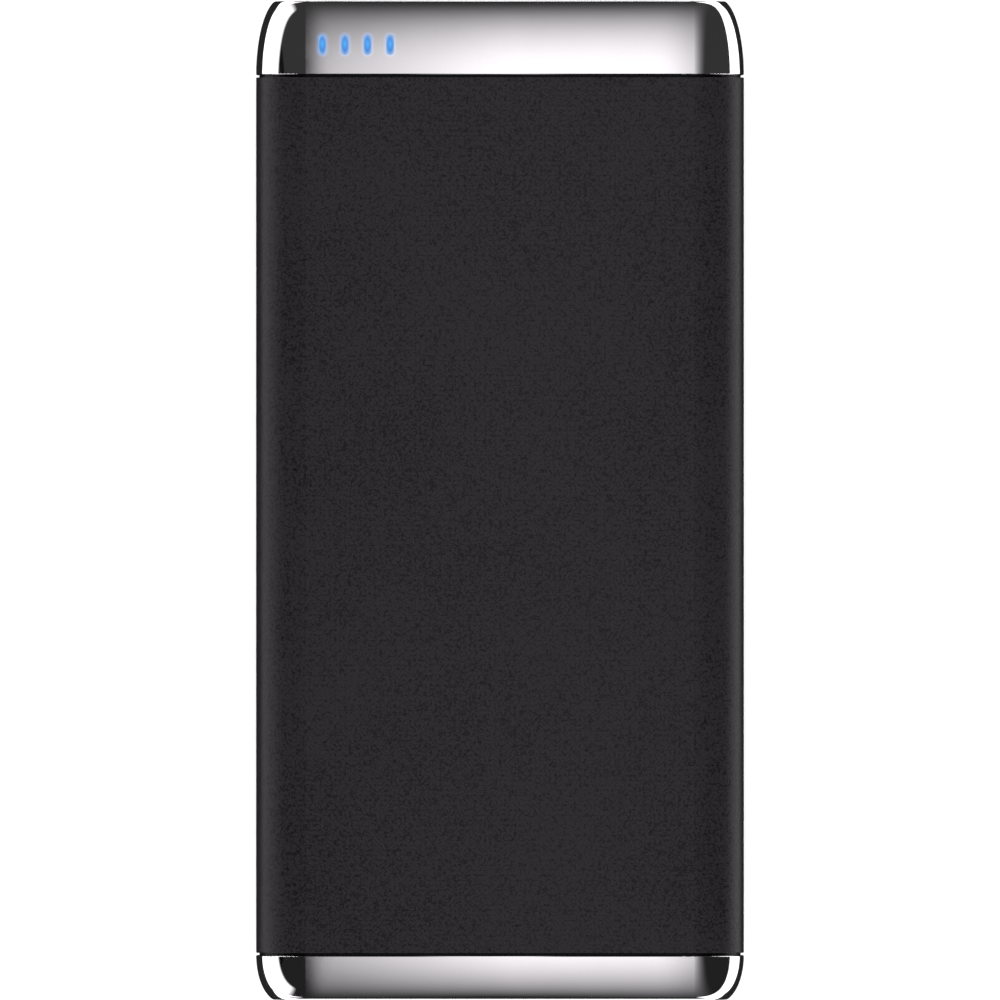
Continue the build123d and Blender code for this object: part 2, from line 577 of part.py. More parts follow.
def micro_section(width, height, x, y_low, y_high):
    """The charging socket's outline: flat top, lower corners cut to a slant."""
    half = width / 2
    slant = height / 3
    points = [
        (-half, height / 2), (half, height / 2), (half, height / 2 - 2 * slant),
        (half - slant, -height / 2), (slant - half, -height / 2), (-half, height / 2 - 2 * slant),
    ]
    place = Plane(origin=(x, y_low, MID_Z), x_dir=(-1, 0, 0), z_dir=(0, 1, 0))
    return extrude(place * make_face(Polyline(*points, close=True)), y_high - y_low)


def micro_usb_shell():
    back = MOUTH_Y - MICRO_DEPTH
    tube = micro_section(MICRO_WIDTH, MICRO_HEIGHT, MICRO_X, back, MOUTH_Y)
    sheet = 2 * MICRO_SHEET
    tube -= micro_section(
        MICRO_WIDTH - sheet, MICRO_HEIGHT - sheet, MICRO_X, back + MICRO_SHEET, MOUTH_Y + 1
    )
    for side in (-1, 1):
        middle = MICRO_X + side * (MICRO_WIDTH + EAR_WIDTH) / 2
        tube += block(EAR_WIDTH, EAR_LENGTH / 2, EAR_SHEET, middle, back + EAR_LENGTH / 2, BOARD_TOP_Z)
    return tube


def micro_usb_tongue():
    back = MOUTH_Y - MICRO_DEPTH + MICRO_SHEET + SEAT_GAP
    root = back + MICRO_DEPTH / 4
    trim = 2 * (MICRO_SHEET + SEAT_GAP)
    insert = micro_section(MICRO_WIDTH - trim, MICRO_HEIGHT - trim, MICRO_X, back, root)
    length = MOUTH_Y - MICRO_TONGUE_SET_BACK - root
    return insert + block(
        MICRO_TONGUE_WIDTH, length, MICRO_TONGUE_THICKNESS, MICRO_X, root, MID_Z
    )


def micro_usb_contacts():
    """Five fine contacts under the charging socket's tongue."""
    root = MOUTH_Y - MICRO_DEPTH + MICRO_SHEET + 2 * SEAT_GAP + MICRO_DEPTH / 4
    length = MOUTH_Y - MICRO_TONGUE_SET_BACK - root - PIN_TIP_MARGIN / 2
    low_z = MID_Z - SEAT_GAP - PIN_THICKNESS
    pins = []
    for i in range(MICRO_PIN_COUNT):
        pin_x = MICRO_X + (i - (MICRO_PIN_COUNT - 1) / 2) * MICRO_PIN_PITCH
        pins.append(block(MICRO_PIN_WIDTH, length, PIN_THICKNESS, pin_x, root, low_z))
    return Compound(pins)


# ================================================================ circuit board and its parts
BOARD_WIDTH = 2 * (SHELL_SCREW_X - BOSS_RADIUS - BOARD_SIDE_CLEARANCE)


def main_board():
    """The sunk board: notched for the three sockets, drilled for its two screws."""
    place = Pos(0, (BOARD_FRONT_Y + BOARD_BACK_Y) / 2, BOARD_BOTTOM_Z)
    outline = RectangleRounded(BOARD_WIDTH, BOARD_LENGTH, BOARD_CORNER_RADIUS)
    board = extrude(place * outline, BOARD_THICKNESS)
    gap = 2 * NOTCH_CLEARANCE
    for x in USB_A_X:
        board -= block(
            USB_A_WIDTH + gap, USB_A_DEPTH, THICKNESS, x, MOUTH_Y - USB_A_DEPTH - NOTCH_CLEARANCE, 0
        )
    board -= block(
        MICRO_WIDTH + gap, MICRO_DEPTH, THICKNESS, MICRO_X, MOUTH_Y - MICRO_DEPTH - NOTCH_CLEARANCE, 0
    )
    for x in (-BOARD_SCREW_X, BOARD_SCREW_X):
        board -= post(SCREW_RADIUS + SCREW_CLEARANCE, x, BOARD_SCREW_Y, 0, THICKNESS)
    return board


def chip(size, x, y):
    """A flat square chip with its pads under it and a dimple at one corner."""
    body = block(size, size, CHIP_HEIGHT, x, y - size / 2, BOARD_TOP_Z + SEAT_GAP)
    top = BOARD_TOP_Z + SEAT_GAP + CHIP_HEIGHT
    body = chamfer(body.edges().filter_by(Axis.Z), CHIP_CORNER)
    return body - post(CHIP_DIMPLE_RADIUS, x - size / 3, y + size / 3, top - CHIP_DIMPLE_DEPTH, top)


def power_inductor():
    """A square ferrite inductor with clipped corners and a round core on top."""
    low = BOARD_TOP_Z + SEAT_GAP
    top = low + INDUCTOR_HEIGHT
    body = block(INDUCTOR_SIZE, INDUCTOR_SIZE, INDUCTOR_HEIGHT, INDUCTOR_X, WORK_Y - INDUCTOR_SIZE / 2, low)
    body = chamfer(body.edges().filter_by(Axis.Z), INDUCTOR_CORNER)
    ring = post(INDUCTOR_RING_RADIUS, INDUCTOR_X, WORK_Y, top - INDUCTOR_RING_DEPTH, top)
    core = post(INDUCTOR_CORE_RADIUS, INDUCTOR_X, WORK_Y, low, top)
    return body - ring + core


def passives(size, places):
    """Separate small boxes of one size, at the given places on the board's top."""
    width, length, height = size
    found = []
    for x, y in places:
        found.append(block(width, length, height, x, y - length / 2, BOARD_TOP_Z + SEAT_GAP))
    return Compound(found)


def capacitors():
    columns = [CAPACITOR_ROW_X + CAPACITOR_PITCH * i for i in range(4)]
    places = [(x, WORK_Y + CAPACITOR_ROW_AHEAD) for x in columns]
    places += [(x, WORK_Y - CAPACITOR_ROW_AHEAD) for x in columns[:2]]
    places += [(INPUT_CAPACITOR_X, WORK_Y + ahead) for ahead in INPUT_CAPACITOR_AHEAD]
    return passives(CAPACITOR_SIZE, places)


def resistors():
    places = [(RESISTOR_ROW_X + RESISTOR_PITCH * i, WORK_Y + RESISTOR_ROW_AHEAD) for i in range(4)]
    places += [(x + LIGHT_RESISTOR_SHIFT, LIGHT_Y - LIGHT_RESISTOR_BEHIND) for x in LIGHT_X]
    return passives(RESISTOR_SIZE, places)


def board_screws():
    pair = []
    for x in (-BOARD_SCREW_X, BOARD_SCREW_X):
        pair.append(screw(x, BOARD_SCREW_Y, BOARD_TOP_Z, BOARD_SCREW_LENGTH, False))
    return Compound(pair)


def shell_screws(y, seat):
    pair = []
    for x in (-SHELL_SCREW_X, SHELL_SCREW_X):
        pair.append(screw(x, y, seat, SHELL_SCREW_LENGTH, True))
    return Compound(pair)


# ================================================================ cells and wiring
INSIDE_HEIGHT = THICKNESS - 2 * SHELL_WALL
CELL_THICKNESS = (INSIDE_HEIGHT - 2 * FOAM_THICKNESS - TAPE_THICKNESS) / 2
CELL_REACH_Z = INSIDE_HEIGHT / 2 - FOAM_THICKNESS
CELL_HALF_WIDTH = (
    HALF_SPAN + sqrt((EDGE_RADIUS - SHELL_WALL) ** 2 - CELL_REACH_Z ** 2) - CELL_CLEARANCE
)
CELL_LOW_Y = BOTTOM_RIM_Y + NECK_LENGTH + CELL_CLEARANCE
CELL_HIGH_Y = BOARD_BACK_Y - WIRE_GAP
BACK_CELL_Z = SHELL_WALL + FOAM_THICKNESS
FRONT_CELL_Z = MID_Z + TAPE_THICKNESS / 2
STRIP_BACK_Y = CELL_HIGH_Y + TAB_LENGTH


def pouch_cell(z_low):
    """A pouch cell with rounded edges and two flat tabs at its board end."""
    length = CELL_HIGH_Y - CELL_LOW_Y
    body = block(2 * CELL_HALF_WIDTH, length, CELL_THICKNESS, 0, CELL_LOW_Y, z_low)
    body = fillet(body.edges().filter_by(Axis.Z), CELL_EDGE_RADIUS)
    body = fillet(body.faces().sort_by(Axis.Z)[0].edges(), CELL_EDGE_RADIUS / 3)
    body = fillet(body.faces().sort_by(Axis.Z)[-1].edges(), CELL_EDGE_RADIUS / 3)
    middle = z_low + (CELL_THICKNESS - TAB_THICKNESS) / 2
    for x in (-TAB_X, TAB_X):
        body += block(TAB_WIDTH, TAB_LENGTH, TAB_THICKNESS, x, CELL_HIGH_Y, middle)
    return body


def cell_tape():
    """A sheet of double-sided tape between the two cells."""
    width = 2 * (CELL_HALF_WIDTH - FOAM_INSET)
    length = CELL_HIGH_Y - CELL_LOW_Y - 2 * FOAM_INSET
    return block(width, length, TAPE_THICKNESS, 0, CELL_LOW_Y + FOAM_INSET, MID_Z - TAPE_THICKNESS / 2)


def foam_pad(z_low):
    width = 2 * (CELL_HALF_WIDTH - FOAM_INSET)
    length = CELL_HIGH_Y - CELL_LOW_Y - 2 * FOAM_INSET
    return block(width, length, FOAM_THICKNESS, 0, CELL_LOW_Y + FOAM_INSET, z_low)


def end_insulator():
    """Stiff paper across the cells' ends, slotted for the tabs."""
    width = 2 * (CELL_HALF_WIDTH - FOAM_INSET)
    height = 2 * CELL_THICKNESS + TAPE_THICKNESS - 2 * STRIP_MARGIN
    low = BACK_CELL_Z + STRIP_MARGIN
    paper = block(width, INSULATOR_THICKNESS, height, 0, CELL_HIGH_Y + SEAT_GAP, low)
    for x in (-TAB_X, TAB_X):
        for z_low in (BACK_CELL_Z, FRONT_CELL_Z):
            middle = z_low + CELL_THICKNESS / 2
            slot_height = TAB_THICKNESS + 2 * PLUNGER_CLEARANCE
            paper -= block(
                TAB_WIDTH + slot_height, 2 * INSULATOR_THICKNESS, slot_height,
                x, CELL_HIGH_Y, middle - slot_height / 2,
            )
    return paper


def strip(x):
    """A nickel strip that joins the like tabs of both cells."""
    low = BACK_CELL_Z + CELL_THICKNESS / 2 - STRIP_MARGIN
    high = FRONT_CELL_Z + CELL_THICKNESS / 2 + STRIP_MARGIN
    return block(TAB_WIDTH, STRIP_THICKNESS, high - low, x, STRIP_BACK_Y, low)


def lead(x, way):
    """An insulated lead from a strip to its pad on the board, with one easy double bend."""
    start = STRIP_BACK_Y + STRIP_THICKNESS
    end = BOARD_BACK_Y + LEAD_ON_BOARD
    z = BOARD_TOP_Z + SEAT_GAP + LEAD_RADIUS
    third = (end - start) * 0.3
    shift = way * LEAD_SHIFT
    points = [(x, start, z), (x, start + third, z), (x + shift, end - third, z), (x + shift, end, z)]
    runs = [Vector(*b) - Vector(*a) for a, b in zip(points, points[1:])]
    radii = []
    for before, after in zip(runs, runs[1:]):
        turn = radians(before.get_angle(after))
        radii.append(0.45 * min(before.length, after.length) / tan(turn / 2))
    print("lead radii", [round(r, 2) for r in radii])
    path = FilletPolyline(*points, radius=radii)
    section = Plane(origin=points[0], z_dir=(0, 1, 0)) * Circle(LEAD_RADIUS)
    return sweep(section, path=path)


# ================================================================ the whole object
def build():
    front, back = shells()
    pieces = {
        "front_shell": front,
        "back_shell": back,
        "top_cap": top_cap(),
        "bottom_cap": bottom_cap(),
        "light_pipe": light_pipe(),
        "power_button": power_button(),
        "switch_body": switch_body(),
        "switch_plunger": switch_plunger(),
        "switch_dome": switch_dome(),
        "main_board": main_board(),
        "micro_usb_shell": micro_usb_shell(),
        "micro_usb_tongue": micro_usb_tongue(),
        "micro_usb_contacts": micro_usb_contacts(),
        "charger_chip": chip(CHARGER_CHIP_SIZE, CHARGER_CHIP_X, WORK_Y + CHARGER_CHIP_AHEAD),
        "boost_chip": chip(BOOST_CHIP_SIZE, BOOST_CHIP_X, WORK_Y + BOOST_CHIP_AHEAD),
        "power_inductor": power_inductor(),
        "capacitors": capacitors(),
        "resistors": resistors(),
        "front_cell": pouch_cell(FRONT_CELL_Z),
        "back_cell": pouch_cell(BACK_CELL_Z),
        "cell_tape": cell_tape(),
        "front_foam_pad": foam_pad(THICKNESS - SHELL_WALL - FOAM_THICKNESS),
        "back_foam_pad": foam_pad(SHELL_WALL),
        "end_insulator": end_insulator(),
        "positive_strip": strip(TAB_X),
        "negative_strip": strip(-TAB_X),
        "positive_lead": lead(TAB_X, -1),
        "negative_lead": lead(-TAB_X, 1),
        "top_shell_screws": shell_screws(TOP_SCREW_Y, TOP_SEAT_Z),
        "bottom_shell_screws": shell_screws(BOTTOM_SCREW_Y, BOTTOM_SEAT_Z),
        "board_screws": board_screws(),
    }
    for i, x in enumerate(LIGHT_X, start=1):
        pieces[f"status_led_{i}"] = status_led(x)
    for i, x in enumerate(USB_A_X, start=1):
        pieces[f"usb_a_shell_{i}"] = usb_a_shell(x)
        pieces[f"usb_a_tongue_{i}"] = usb_a_tongue(x)
        pieces[f"usb_a_contacts_{i}"] = usb_a_contacts(x)
    return pieces


os.makedirs("parts", exist_ok=True)
for name, piece in build().items():
    export_step(piece, f"parts/{name}.step")
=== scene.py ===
import math

import bmesh
import bpy
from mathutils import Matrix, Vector


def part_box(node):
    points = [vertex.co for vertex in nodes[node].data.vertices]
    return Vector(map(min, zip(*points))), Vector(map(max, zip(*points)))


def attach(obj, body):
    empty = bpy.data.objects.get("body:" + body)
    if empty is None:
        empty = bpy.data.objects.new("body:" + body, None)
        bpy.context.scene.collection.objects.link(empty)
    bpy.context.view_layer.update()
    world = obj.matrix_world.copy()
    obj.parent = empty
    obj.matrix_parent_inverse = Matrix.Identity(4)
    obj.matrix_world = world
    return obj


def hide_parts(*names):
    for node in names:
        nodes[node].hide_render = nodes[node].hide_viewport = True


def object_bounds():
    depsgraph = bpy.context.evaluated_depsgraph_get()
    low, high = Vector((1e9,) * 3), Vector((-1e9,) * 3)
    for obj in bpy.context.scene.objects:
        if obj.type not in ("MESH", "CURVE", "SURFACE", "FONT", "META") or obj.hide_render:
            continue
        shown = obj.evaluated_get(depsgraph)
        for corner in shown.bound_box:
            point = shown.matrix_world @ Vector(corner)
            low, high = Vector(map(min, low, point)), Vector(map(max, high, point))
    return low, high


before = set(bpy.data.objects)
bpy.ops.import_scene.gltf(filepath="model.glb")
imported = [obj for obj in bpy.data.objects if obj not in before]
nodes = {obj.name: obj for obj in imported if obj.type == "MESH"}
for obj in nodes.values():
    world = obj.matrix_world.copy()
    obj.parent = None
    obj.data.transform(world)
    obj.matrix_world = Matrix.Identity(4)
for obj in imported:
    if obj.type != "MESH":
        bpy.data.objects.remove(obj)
cad_low, cad_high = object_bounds()


# ------------------------------------------------------------------ half shells
# The body is two injection-moulded halves in black ABS, front and back, that meet at a hairline along both
# sides. The tool is textured, so the skin has a very fine leathery grain with a soft, slightly silky face.
# Two screws at each end hold them together, out of sight under the end caps.
def add(tree, kind, *links, **settings):
    """A shader node with its settings, and its first inputs fed from sockets or set to values."""
    made = tree.nodes.new("ShaderNode" + kind)
    for name, value in settings.items():
        setattr(made, name, value)
    for socket, feed in zip(made.inputs, links):
        if isinstance(feed, bpy.types.NodeSocket):
            tree.links.new(feed, socket)
        elif feed is not None:
            socket.default_value = feed
    return made


def new_finish(name, colour, roughness, metallic=0.0, specular=0.5):
    """A finish with its shader set, and the piece's own coordinates in metres."""
    finish = bpy.data.materials.new(name)
    finish.use_nodes = True
    tree = finish.node_tree
    shader = tree.nodes["Principled BSDF"]
    shader.inputs["Base Color"].default_value = (*colour, 1.0)
    shader.inputs["Roughness"].default_value = roughness
    shader.inputs["Metallic"].default_value = metallic
    shader.inputs["Specular IOR Level"].default_value = specular
    place = add(tree, "TexCoord").outputs["Object"]
    return finish, tree, shader, place


def speckle(tree, place, size, detail=2.0, roughness=0.5):
    """Soft irregular noise whose blotches are about this size in metres, from 0 to 1."""
    return add(tree, "TexNoise", place, None, 1.0 / size, detail, roughness).outputs["Fac"]


def cells(tree, place, size, feature="F1"):
    """Pebbled cells about this size in metres: low in their middles, high at their edges."""
    return add(tree, "TexVoronoi", place, None, 1.0 / size, feature=feature).outputs["Distance"]


def spread(tree, value, low, high, from_low=0.35, from_high=0.65):
    """A value stretched between two ends."""
    return add(tree, "MapRange", value, from_low, from_high, low, high).outputs["Result"]


def tint(tree, value, low_colour, high_colour, low=0.35, high=0.65):
    """A colour that goes from one to the other as the value rises."""
    ramp = add(tree, "ValToRGB", value)
    first, last = ramp.color_ramp.elements
    first.position, first.color = low, (*low_colour, 1.0)
    last.position, last.color = high, (*high_colour, 1.0)
    return ramp.outputs["Color"]


def together(tree, first, second, first_share=1.0, second_share=1.0):
    """Two heights added, each by its share."""
    scaled = add(tree, "Math", first, first_share, operation="MULTIPLY").outputs[0]
    return add(tree, "Math", second, second_share, scaled, operation="MULTIPLY_ADD").outputs[0]


def relief(tree, shader, height, depth, strength=1.0):
    """A height field laid on the surface, its depth in metres."""
    bump = add(tree, "Bump", strength, depth)
    tree.links.new(height, bump.inputs["Height"])
    tree.links.new(bump.outputs["Normal"], shader.inputs["Normal"])


def feed(tree, shader, **sockets):
    """Links outputs to the shader's sockets, named in lower case."""
    for name, output in sockets.items():
        tree.links.new(output, shader.inputs[name.replace("_", " ").title()])


def cover(finish, *names):
    """Gives a finish to pieces of the frame."""
    for name in names:
        mesh = nodes[name].data
        if not mesh.materials:
            mesh.materials.append(finish)
        for i in range(len(mesh.materials)):
            mesh.materials[i] = finish


def creases(tree, place, size, width=0.07):
    """Fine wandering creases about this far apart: 0 in a crease, 1 on the pebbles between them."""
    wander = speckle(tree, place, size, 1.5, 0.45)
    off = add(tree, "Math", wander, 0.5, operation="SUBTRACT").outputs[0]
    off = add(tree, "Math", off, operation="ABSOLUTE").outputs[0]
    return spread(tree, off, 0.0, 1.0, 0.0, width)


# painted shade in the grain's creases
PAINTED_CREASE_SHADE = (0.0040, 0.0034, 0.0040)
SHELL_PEBBLE = (0.0112, 0.0096, 0.0112)
# painted shade for the groove that shows beside each cap
PAINTED_GROOVE_SHADE = (0.0010, 0.0009, 0.0010)
GRAIN = 0.00075
FINE_GRAIN = 0.00034
GRAIN_DEPTH = 0.000022
REVEAL = 0.00035


def shell_finish():
    finish, tree, shader, place = new_finish("grained_black_shell", SHELL_PEBBLE, 0.35, specular=0.13)
    leather = creases(tree, place, GRAIN)
    pores = speckle(tree, place, FINE_GRAIN, 2.0, 0.6)
    handled = speckle(tree, place, 0.018, 2.0)
    grain = together(tree, leather, pores, 0.45, 1.2)
    relief(tree, shader, grain, GRAIN_DEPTH, 0.6)
    # The grain's creases are painted darker as shade, with a soft random tone mixed in.
    shade = together(tree, grain, handled, 0.8, 0.35)
    shell_colour_with_painted_crease_shade = tint(tree, shade, PAINTED_CREASE_SHADE, SHELL_PEBBLE, 0.62, 1.2)
    # the smooth steps under the caps, and the groove that shows beside each, painted near black as the
    # groove's shade
    height = add(tree, "SeparateXYZ", place).outputs["Y"]
    top_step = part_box("top_cap")[0].y - REVEAL
    bottom_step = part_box("bottom_cap")[1].y + REVEAL
    centre = (top_step + bottom_step) / 2
    from_centre = add(tree, "Math", height, centre, operation="SUBTRACT").outputs[0]
    from_centre = add(tree, "Math", from_centre, operation="ABSOLUTE").outputs[0]
    half = (top_step - bottom_step) / 2
    painted_groove_shade_mask = add(tree, "Math", from_centre, half - 0.00002, operation="GREATER_THAN").outputs[0]
    choose = add(tree, "Mix", data_type="RGBA")
    tree.links.new(painted_groove_shade_mask, choose.inputs["Factor"])
    tree.links.new(shell_colour_with_painted_crease_shade, choose.inputs[6])
    choose.inputs[7].default_value = (*PAINTED_GROOVE_SHADE, 1.0)
    feed(tree, shader, base_color=choose.outputs[2])
    gloss = together(tree, pores, handled, 0.5, 0.5)
    feed(tree, shader, roughness=spread(tree, gloss, 0.29, 0.40))
    return finish


cover(shell_finish(), "front_shell", "back_shell")


# ------------------------------------------------------------------ end caps
# Each cap is moulded in ABS, copper and nickel plated, and finished in bright chrome. It slides over the
# shells' spigot and clicks on. The plating is a mirror with faint polishing marks from a soft buff.
# Around the status windows a little blue glow is painted on the chrome, a painted reflection of the lit
# lenses.
CHROME = (0.93, 0.90, 0.93)
CHROME_DULL = (0.90, 0.87, 0.90)
EDGE_RADIUS = 0.0075
HALF_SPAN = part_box("top_cap")[1].x - EDGE_RADIUS
CROWN_INSET = 0.0036
CROWN_RUNOUT = 0.0003
ROW = 0.0003
FAN_CUTS = 36
FAN_STEP = math.radians(180 / FAN_CUTS)
SAME_PLACE = 1e-6
ON_THE_CROWN = 0.00002
SAME_WAY = 0.8
WINDOW_WIDTH = 0.0012
WINDOW_LENGTH = 0.0031
# the blue painted on the chrome round each window, as a painted reflection of the lit lenses
PAINTED_REFLECTION_REACH = 0.00055
PAINTED_REFLECTION_BLUE = (0.10, 0.34, 0.95)
PAINTED_REFLECTION_STRENGTH = 0.22
light_names = [f"status_led_{i}" for i in range(1, 5)]
light_middles = [(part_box(name)[0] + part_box(name)[1]) / 2 for name in light_names]


def finely_cut(shape, rim, end):
    """Cuts the cap's faces into fine rows along its height, and into a fan round each side."""
    rows = int(abs(end - rim) / ROW)
    for i in range(1, rows):
        place = (0, rim + (end - rim) * i / rows, 0)
        bmesh.ops.bisect_plane(shape, geom=shape.verts[:] + shape.edges[:] + shape.faces[:], dist=1e-7,
                               plane_co=place, plane_no=(0, 1, 0))
    for side in (-1, 1):
        for i in range(FAN_CUTS):
            place = (side * HALF_SPAN, 0, EDGE_RADIUS)
            way = (side * math.cos(i * FAN_STEP), 0, math.sin(i * FAN_STEP))
            start = HALF_SPAN - SAME_PLACE
            faces = [f for f in shape.faces if f.calc_center_median().x * side > start or i == 0]
            edges = {e for f in faces for e in f.edges}
            verts = {v for f in faces for v in f.verts}
            bmesh.ops.bisect_plane(shape, geom=[*verts, *edges, *faces], dist=1e-7,
                                   plane_co=place, plane_no=way)


def crown_at(spot, rim, end):
    """The crown's radius abreast of a spot, and how steeply it draws in there."""
    height = abs(end - rim) + CROWN_RUNOUT
    share = min(max((spot.y - rim) / (end - rim) * abs(end - rim) / height, 0.0), 0.999)
    left = math.sqrt(1 - share * share)
    return EDGE_RADIUS - CROWN_INSET * (1 - left), CROWN_INSET * share / left / height


def out_from_core(spot):
    """The way straight out of the bar that runs through the middle of the cap's section."""
    return Vector((spot.x - max(-HALF_SPAN, min(HALF_SPAN, spot.x)), 0, spot.z - EDGE_RADIUS))


def face_normals(shape, rim, end):
    """A normal for each corner: true to the crown on it, straight on the end, blended on the edges."""
    toward_end = Vector((0, math.copysign(1, end - rim), 0))
    on_crown = {}
    for v in shape.verts:
        out = out_from_core(v.co)
        radius, slope = crown_at(v.co, rim, end)
        if out.length > 0 and abs(out.length - radius) < ON_THE_CROWN:
            v.co += out.normalized() * (radius - out.length)
            on_crown[v] = (out.normalized() + toward_end * slope).normalized()
    shape.normal_update()
    normals = []
    for face in shape.faces:
        for corner in face.loops:
            v = corner.vert
            if v in on_crown and face.normal.dot(on_crown[v]) > SAME_WAY:
                normals.append(on_crown[v])
            elif abs(v.co.y - end) < SAME_PLACE and face.normal.dot(toward_end) > SAME_WAY:
                normals.append(toward_end)
            elif abs(v.co.y - rim) < SAME_PLACE and face.normal.dot(toward_end) < -SAME_WAY:
                normals.append(-toward_end)
            else:
                near = [f for f in v.link_faces if f.normal.dot(face.normal) > SAME_WAY]
                total = sum((f.normal * f.calc_area() for f in near), Vector())
                normals.append(total.normalized() if total.length > 0 else face.normal.copy())
    return normals


def plated_cap(name, node, finish):
    """The cap as moulded, with its crown cut fine enough to mirror without ripples."""
    low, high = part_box(node)
    rim, end = (low.y, high.y) if high.y > 0 else (high.y, low.y)
    shape = bmesh.new()
    shape.from_mesh(nodes[node].data)
    shape.transform(nodes[node].matrix_world)
    bmesh.ops.remove_doubles(shape, verts=shape.verts[:], dist=1e-7)
    finely_cut(shape, rim, end)
    normals = face_normals(shape, rim, end)
    for face in shape.faces:
        face.smooth = True
        face.material_index = 0
    mesh = bpy.data.meshes.new(name)
    shape.to_mesh(mesh)
    shape.free()
    mesh.materials.append(finish)
    mesh.normals_split_custom_set(normals)
    cap = bpy.data.objects.new(name, mesh)
    bpy.context.scene.collection.objects.link(cap)
    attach(cap, "housing")
    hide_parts(node)


def painted_reflection_near(tree, place, middle):
    """1 at the edge of one window, falling to 0 at the reach of the painted reflection."""
    apart = add(tree, "VectorMath", place, tuple(middle), operation="SUBTRACT").outputs[0]
    axes = add(tree, "SeparateXYZ", apart)
    straight = (WINDOW_LENGTH - WINDOW_WIDTH) / 2
    along = add(tree, "Math", axes.outputs["Y"], operation="ABSOLUTE").outputs[0]
    past = add(tree, "Math", along, straight, operation="SUBTRACT").outputs[0]
    past = add(tree, "Math", past, 0.0, operation="MAXIMUM").outputs[0]
    flat = add(tree, "CombineXYZ", axes.outputs["X"], past, 0.0).outputs[0]
    gap = add(tree, "VectorMath", flat, operation="LENGTH").outputs["Value"]
    edge = WINDOW_WIDTH / 2
    fall = add(tree, "MapRange", gap, edge, edge + PAINTED_REFLECTION_REACH, 1.0, 0.0, interpolation_type="SMOOTHSTEP")
    return fall.outputs[0]


def chrome_finish(name, glow):
    finish, tree, shader, place = new_finish(name, CHROME, 0.05, 1.0)
    buffed = speckle(tree, place, 0.009, 3.0)
    specks = speckle(tree, place, 0.0009, 4.0)
    feed(tree, shader, base_color=tint(tree, buffed, CHROME_DULL, CHROME))
    wear = together(tree, buffed, specks, 0.7, 0.3)
    feed(tree, shader, roughness=spread(tree, wear, 0.035, 0.075))
    # a faint blue emission painted on the chrome round the windows, as a painted reflection of the lit lenses
    if glow:
        light = painted_reflection_near(tree, place, light_middles[0])
        for middle in light_middles[1:]:
            light = add(tree, "Math", light, painted_reflection_near(tree, place, middle), operation="ADD").outputs[0]
        strength = add(tree, "Math", light, PAINTED_REFLECTION_STRENGTH, operation="MULTIPLY").outputs[0]
        shader.inputs["Emission Color"].default_value = (*PAINTED_REFLECTION_BLUE, 1.0)
        feed(tree, shader, emission_strength=strength)
    return finish


plated_cap("plated_top_cap", "top_cap", chrome_finish("chrome_with_painted_window_reflection", True))
plated_cap("plated_bottom_cap", "bottom_cap", chrome_finish("chrome_plating", False))


# ------------------------------------------------------------------ light pipe and status lights
# One moulding in clear acrylic sits under the top cap: a bar with a lens up into each window, a post down to
# each diode, and two legs on the board. The four blue diodes are 1.6 mm chips in clear resin, soldered down.
# Lit, each lens is brightest over its post and deeper blue towards its ends.
LENS_EDGE = (0.27, 0.42, 0.66)
LENS_BRIGHT = (0.067, 0.355, 0.840)
LENS_DEEP = (0.040, 0.190, 0.590)


def lens_finish():
    finish, tree, shader, place = new_finish("lit_blue_acrylic", (0.01, 0.03, 0.06), 0.25, specular=0.2)
    apart = add(tree, "VectorMath", place, tuple(light_middles[0]), operation="SUBTRACT").outputs[0]
    axes = add(tree, "SeparateXYZ", apart)
    pitch = light_middles[1].x - light_middles[0].x
    count = add(tree, "Math", axes.outputs["X"], pitch, operation="DIVIDE").outputs[0]
    nearest = add(tree, "Math", count, operation="ROUND").outputs[0]
    across = add(tree, "Math", count, nearest, operation="SUBTRACT").outputs[0]
    across = add(tree, "Math", across, pitch / (WINDOW_WIDTH / 2), operation="MULTIPLY").outputs[0]
    along = add(tree, "Math", axes.outputs["Y"], WINDOW_LENGTH / 2, operation="DIVIDE").outputs[0]
    oval = add(tree, "CombineXYZ", across, along, 0.0).outputs[0]
    oval = add(tree, "VectorMath", oval, operation="LENGTH").outputs["Value"]
    lit = add(tree, "MapRange", oval, 1.08, 0.55, interpolation_type="SMOOTHSTEP").outputs[0]
    off_core = add(tree, "Math", along, 0.08, operation="SUBTRACT").outputs[0]
    narrowed = add(tree, "Math", across, 0.75, operation="MULTIPLY").outputs[0]
    core = add(tree, "CombineXYZ", narrowed, off_core, 0.0)
    core = add(tree, "VectorMath", core.outputs[0], operation="LENGTH").outputs["Value"]
    core = add(tree, "MapRange", core, 0.75, 0.0, interpolation_type="SMOOTHSTEP").outputs[0]
    blue = add(tree, "Mix", data_type="RGBA")
    tree.links.new(core, blue.inputs["Factor"])
    blue.inputs[6].default_value = (*LENS_DEEP, 1.0)
    blue.inputs[7].default_value = (*LENS_BRIGHT, 1.0)
    whole = add(tree, "Mix", data_type="RGBA")
    tree.links.new(lit, whole.inputs["Factor"])
    whole.inputs[6].default_value = (*LENS_EDGE, 1.0)
    tree.links.new(blue.outputs[2], whole.inputs[7])
    feed(tree, shader, emission_color=whole.outputs[2])
    shader.inputs["Emission Strength"].default_value = 1.0
    relief(tree, shader, speckle(tree, place, 0.0004, 2.0), 0.000006, 0.3)
    return finish


cover(lens_finish(), "light_pipe")


def diode_finish():
    finish, tree, shader, place = new_finish("blue_diode_resin", (0.5, 0.6, 0.75), 0.25)
    shader.inputs["Emission Color"].default_value = (0.15, 0.45, 1.0, 1.0)
    phosphor = speckle(tree, place, 0.0003, 2.0)
    feed(tree, shader, emission_strength=spread(tree, phosphor, 1.2, 2.0))
    feed(tree, shader, roughness=spread(tree, phosphor, 0.2, 0.35))
    return finish


